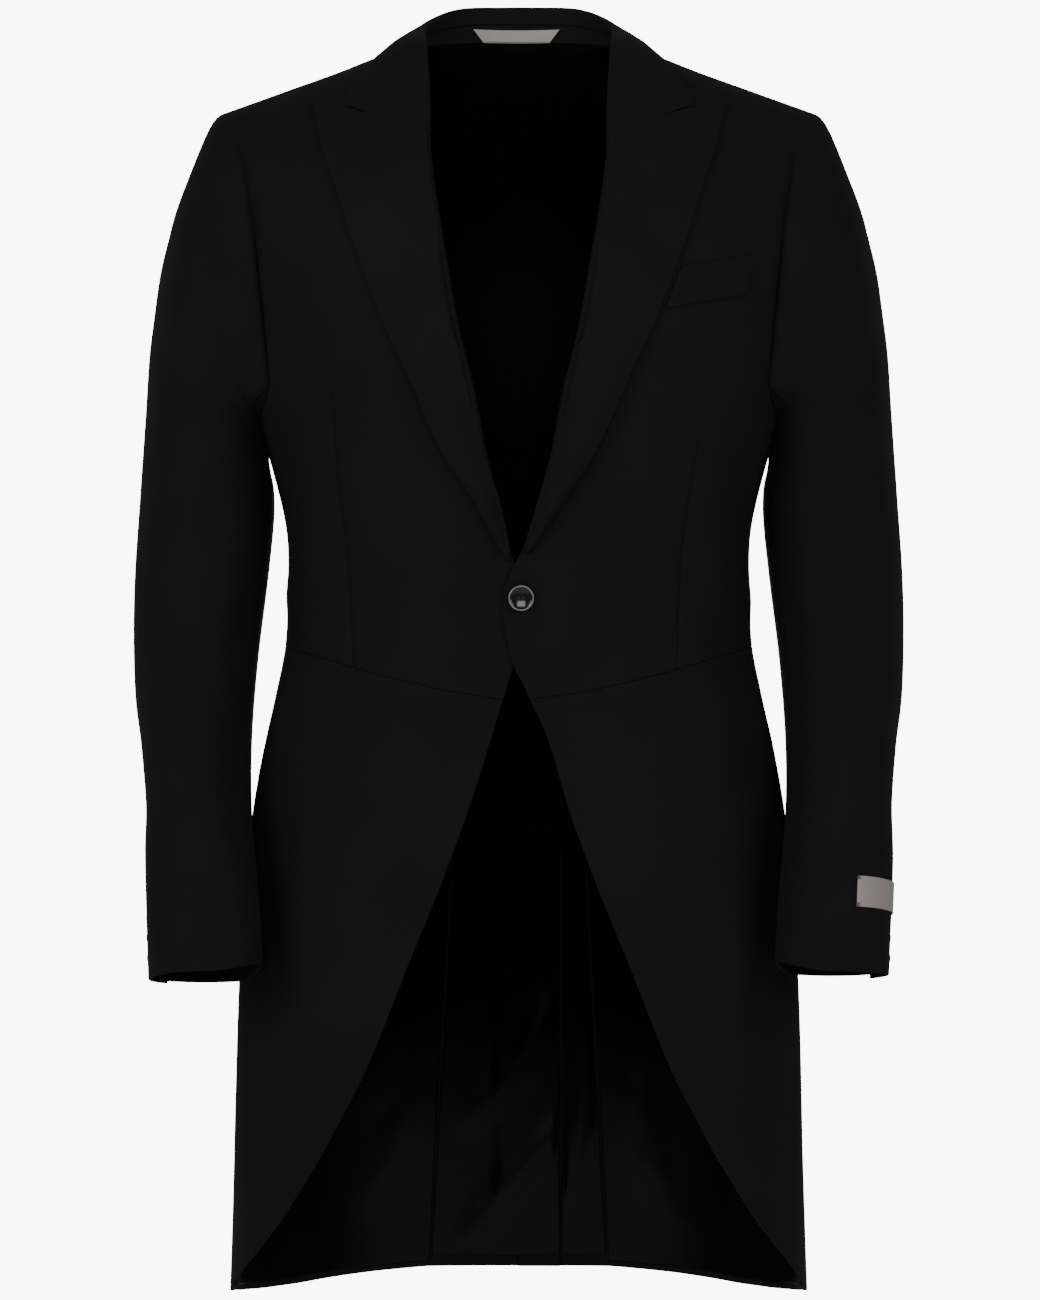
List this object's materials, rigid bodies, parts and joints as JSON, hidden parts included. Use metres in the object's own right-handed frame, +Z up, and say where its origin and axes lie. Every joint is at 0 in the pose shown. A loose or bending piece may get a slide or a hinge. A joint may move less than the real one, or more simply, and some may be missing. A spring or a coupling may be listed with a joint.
{
  "type": "morning coat suit jacket",
  "caption": "Single-breasted cutaway suit jacket with tails, notched lapels, a breast welt and plain sleeves, hollow as if worn, to dress a standing figure.",
  "frame": {"origin": "middle of the shoulders at the foot of the neck, where the wearer carries the coat", "axes": "+Z up, the front faces -Y, the wearer's left is +X"},
  "size_m": [0.599, 0.2657, 1.0095],
  "materials": {
    "wool": "fine matte worsted twill",
    "lining": "satin lining",
    "label": "woven label cloth",
    "button": "polished black horn look"
  },
  "bodies": {
    "root": {"forepart_left": "wool", "forepart_right": "wool", "side_body_left": "wool", "side_body_right": "wool", "skirt_left": "wool", "skirt_right": "wool", "back_left": "wool", "back_right": "wool", "lapel_left": "wool", "lapel_right": "wool", "collar": "wool", "top_sleeve_left": "wool", "top_sleeve_right": "wool", "under_sleeve_left": "wool", "under_sleeve_right": "wool", "vent_underlap": "wool", "breast_welt": "wool", "back_lining": "lining", "tail_lining_left": "lining", "tail_lining_right": "lining", "skirt_lining_left": "lining", "skirt_lining_right": "lining", "neck_label": "label", "sleeve_label": "label", "front_button": "button", "back_button_left": "button", "back_button_right": "button", "cuff_button_left_1": "button", "cuff_button_left_2": "button", "cuff_button_left_3": "button", "cuff_button_right_1": "button", "cuff_button_right_2": "button", "cuff_button_right_3": "button"}
  },
  "joints": []
}
